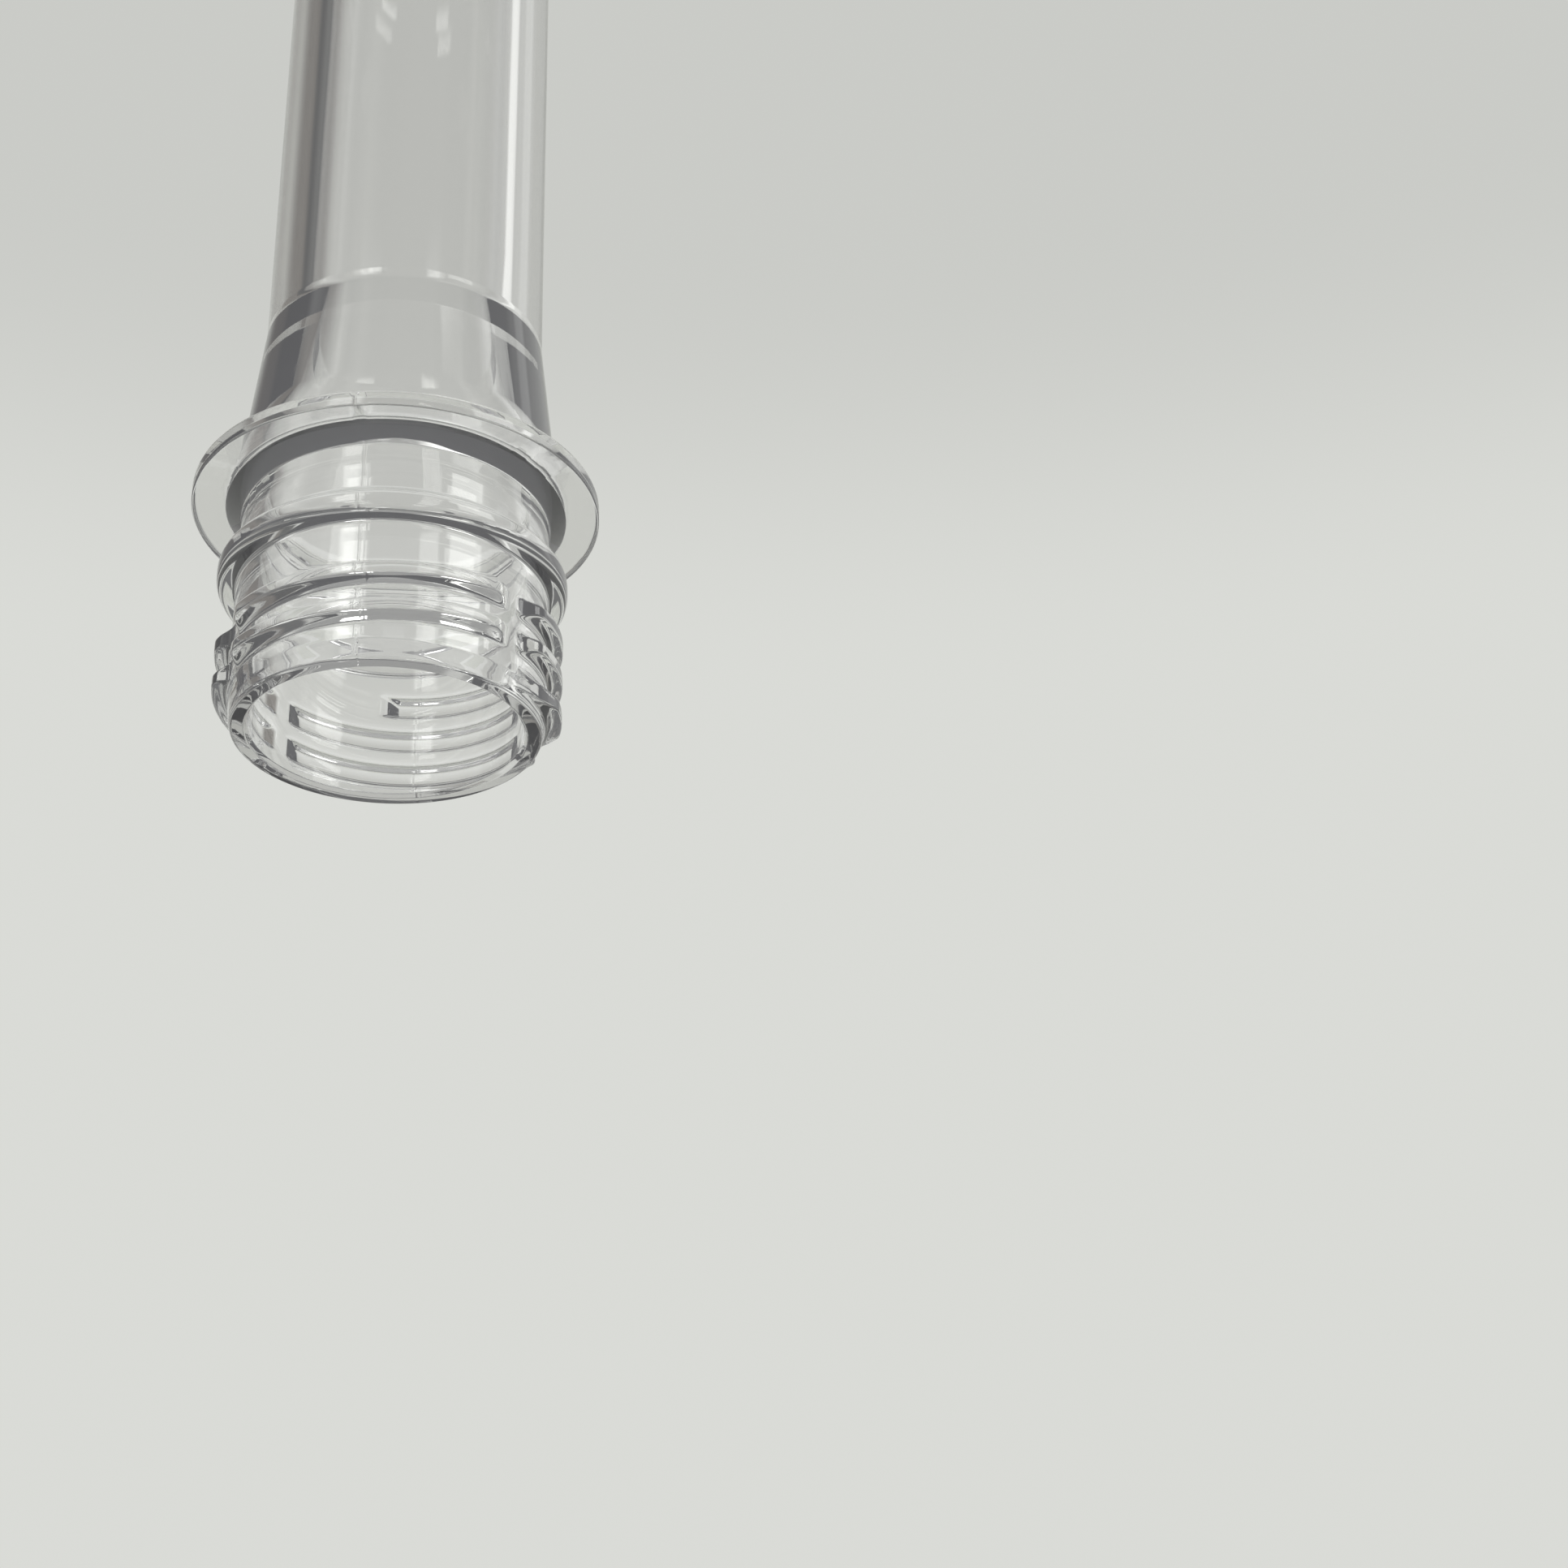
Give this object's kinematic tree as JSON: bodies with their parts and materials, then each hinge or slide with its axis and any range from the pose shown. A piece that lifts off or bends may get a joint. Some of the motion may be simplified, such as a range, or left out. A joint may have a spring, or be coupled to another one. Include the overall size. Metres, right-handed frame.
{
  "type": "bottle preform",
  "caption": "Clear moulded tube with a round closed end, a threaded neck with vent slots, a bead and a support ring, open at the mouth.",
  "frame": {"origin": "centre of the mouth face, which is the flat ring that the part stands on", "axes": "+Z along the tube's axis, from the mouth to the closed end; the mould parts on X = 0, so one parting line faces -Y"},
  "size_m": [0.033, 0.033, 0.105],
  "materials": {
    "clear_plastic": "polished, clear"
  },
  "bodies": {
    "root": {"preform": "clear_plastic"}
  },
  "joints": []
}
